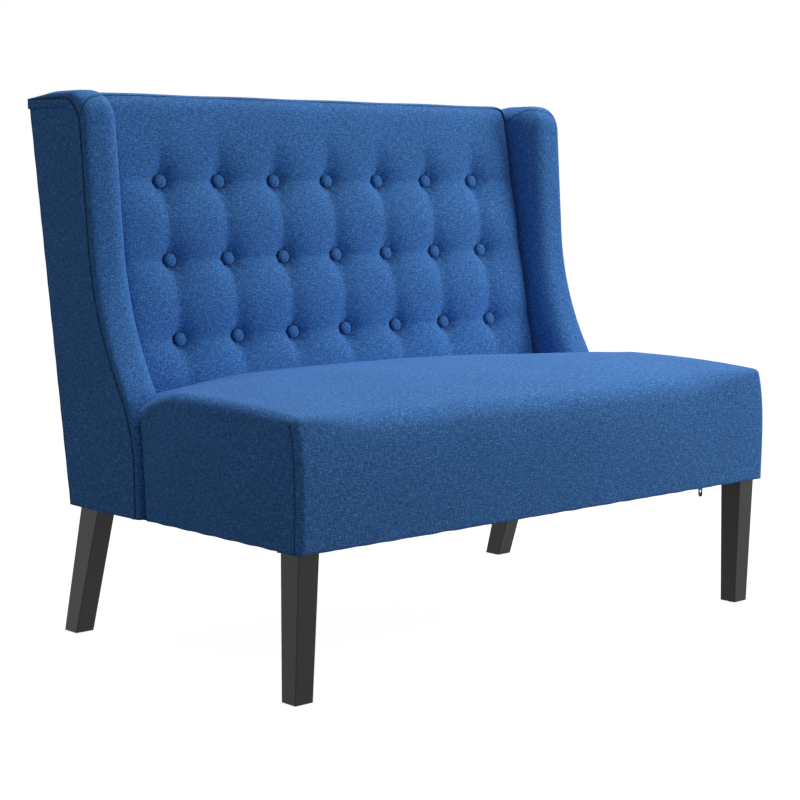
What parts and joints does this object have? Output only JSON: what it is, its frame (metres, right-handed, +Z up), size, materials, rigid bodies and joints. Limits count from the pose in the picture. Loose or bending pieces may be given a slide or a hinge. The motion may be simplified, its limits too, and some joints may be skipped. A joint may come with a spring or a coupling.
{
  "type": "high back settee",
  "caption": "Armless upholstered high back settee with a button-tufted inner back, curved wings, a crowned tight seat and tapered dark wooden legs.",
  "frame": {"origin": "on the floor, below the middle of the settee's overall box", "axes": "+X to the right of somebody looking at the settee's front, -Y out of its front, +Z up"},
  "size_m": [1.1812, 0.7413, 0.9764],
  "materials": {
    "blue_linen_fabric": "matte heathered weave",
    "black_leg_wood": "satin lacquer",
    "pine_frame": "sawn",
    "plywood": "sanded",
    "foam": "open cell",
    "elastic_webbing": "woven",
    "hessian": "coarse weave",
    "card": "matte",
    "black_lining_cloth": "matte spunbond",
    "black_nylon": "matte",
    "steel": "zinc plated",
    "black_metal": "satin",
    "waxed_twine": "waxed"
  },
  "bodies": {
    "settee": {"back_cover_tufted": "blue_linen_fabric", "back_foam": "foam", "back_hessian": "hessian", "back_post_bolts": "steel", "back_post_left": "pine_frame", "back_post_right": "pine_frame", "back_rail_bottom": "pine_frame", "back_rail_middle": "pine_frame", "back_rail_top": "pine_frame", "back_top_strip": "blue_linen_fabric", "back_webbing_cross": "elastic_webbing", "back_webbing_upright": "elastic_webbing", "dust_cover": "black_lining_cloth", "front_leg_left": "black_leg_wood", "front_leg_right": "black_leg_wood", "leg_glides": "black_nylon", "leg_hanger_bolts": "steel", "outer_back_board": "card", "outer_back_cover": "blue_linen_fabric", "rear_leg_left": "black_leg_wood", "rear_leg_right": "black_leg_wood", "seat_corner_blocks": "pine_frame", "seat_cover": "blue_linen_fabric", "seat_foam": "foam", "seat_rail_centre": "pine_frame", "seat_rail_front": "pine_frame", "seat_rail_left": "pine_frame", "seat_rail_rear": "pine_frame", "seat_rail_right": "pine_frame", "seat_side_panel_left": "blue_linen_fabric", "seat_side_panel_right": "blue_linen_fabric", "seat_webbing_crossways": "elastic_webbing", "seat_webbing_lengthways": "elastic_webbing", "tuft_buttons": "blue_linen_fabric", "tuft_toggles": "black_nylon", "tuft_twines": "waxed_twine", "wing_cover_left": "blue_linen_fabric", "wing_cover_right": "blue_linen_fabric", "wing_foam_left": "foam", "wing_foam_right": "foam", "wing_panel_left": "plywood", "wing_panel_right": "plywood", "wing_panel_screws": "steel", "wing_side_cover_left": "blue_linen_fabric", "wing_side_cover_right": "blue_linen_fabric", "wing_spacer_blocks": "pine_frame", "wing_welt_left": "blue_linen_fabric", "wing_welt_right": "blue_linen_fabric", "zip_coils": "black_nylon", "zip_tape": "black_lining_cloth"},
    "zip_slider": {"zip_slider": "black_metal"},
    "zip_pull": {"zip_pull": "black_metal"}
  },
  "joints": [
    {"name": "zip_slide", "type": "slide", "parent": "settee", "child": "zip_slider", "axis": [1, 0, 0], "range_m": [-0.93, 0]},
    {"name": "zip_pull_swing", "type": "hinge", "parent": "zip_slider", "child": "zip_pull", "pos_m": [0.468, -0.3, 0.2392], "axis": [0, 1, 0], "range_deg": [-80, 80]}
  ]
}
